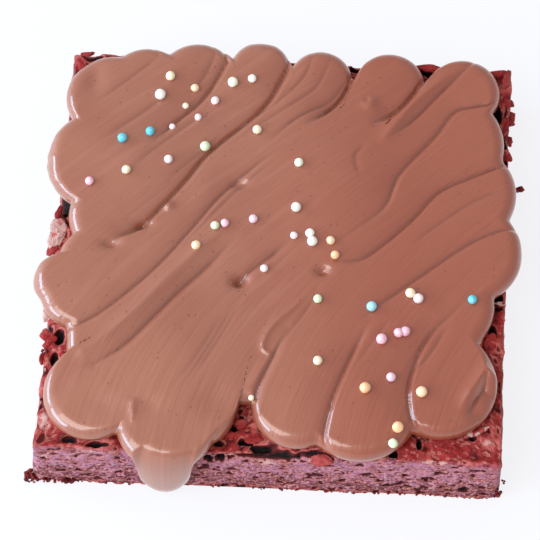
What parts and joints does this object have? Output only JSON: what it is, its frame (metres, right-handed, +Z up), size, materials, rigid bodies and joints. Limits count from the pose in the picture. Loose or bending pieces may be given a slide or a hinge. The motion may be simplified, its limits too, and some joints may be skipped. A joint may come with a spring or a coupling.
{
  "type": "chocolate brownie",
  "caption": "Square-cut chocolate brownie under a thick swirled layer of milk-chocolate icing with a lobed rim and a drip down the front.",
  "frame": {"origin": "centre of the underside's box, on the surface that the brownie stands on", "axes": "+Z up; -Y towards the front face with the icing drip; +X to the right of that face"},
  "size_m": [0.0794, 0.0769, 0.0181],
  "materials": {
    "crumb": "dense dark reddish-brown crumb with pores, moist and matt",
    "icing": "smooth milk-chocolate icing with a satin gloss"
  },
  "bodies": {
    "root": {"brownie_cake": "crumb", "chocolate_icing": "icing"}
  },
  "joints": []
}
